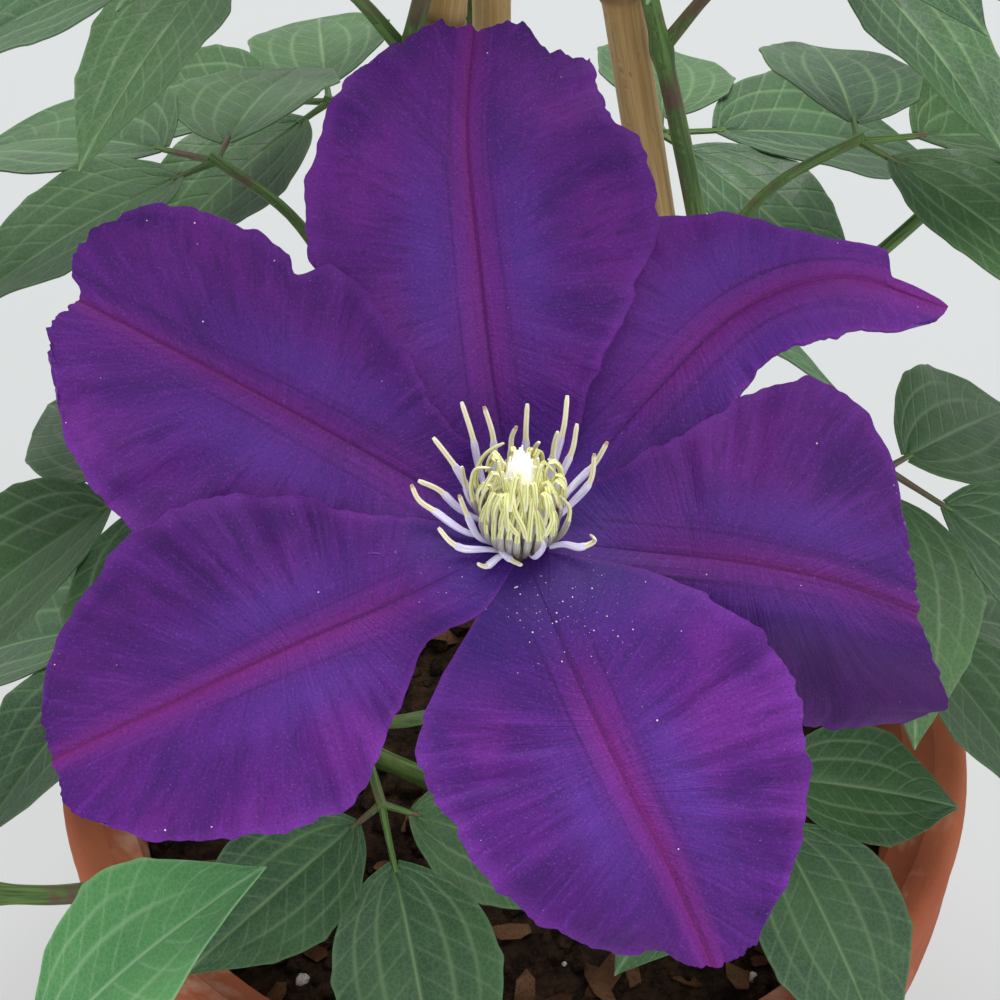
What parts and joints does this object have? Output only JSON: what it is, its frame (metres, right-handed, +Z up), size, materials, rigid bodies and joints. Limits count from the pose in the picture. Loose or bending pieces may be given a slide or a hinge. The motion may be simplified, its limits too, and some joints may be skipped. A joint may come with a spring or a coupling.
{
  "type": "potted clematis",
  "caption": "Climbing clematis in a round terracotta pot, with large open violet blooms and buds on leafy stems that twine up a wigwam of bamboo canes.",
  "frame": {"origin": "centre of the pot's flat base", "axes": "+Z up along the pot's axis and the plant's height, +X to the right seen from in front; the large bloom faces -Y and up"},
  "size_m": [0.3605, 0.274, 0.5404],
  "materials": {
    "terracotta": "unglazed",
    "soil": "crumbly",
    "bamboo": "dry",
    "twine": "coarse",
    "foliage": "satin",
    "bud": "downy",
    "tepals": "velvety",
    "stamens": "matte"
  },
  "bodies": {
    "root": {"pot": "terracotta", "soil": "soil", "cane_left": "bamboo", "cane_right": "bamboo", "cane_back": "bamboo", "cane_tie": "twine", "stem_left": "foliage", "stem_right": "foliage", "stem_back": "foliage", "stem_front": "foliage", "bud_left": "bud", "bud_right": "bud", "bud_back": "bud", "bloom_front_tepals": "tepals", "bloom_left_tepals": "tepals", "bloom_right_tepals": "tepals", "bloom_top_tepals": "tepals", "bloom_front_stamens": "stamens", "bloom_left_stamens": "stamens", "bloom_right_stamens": "stamens", "bloom_top_stamens": "stamens"}
  },
  "joints": []
}
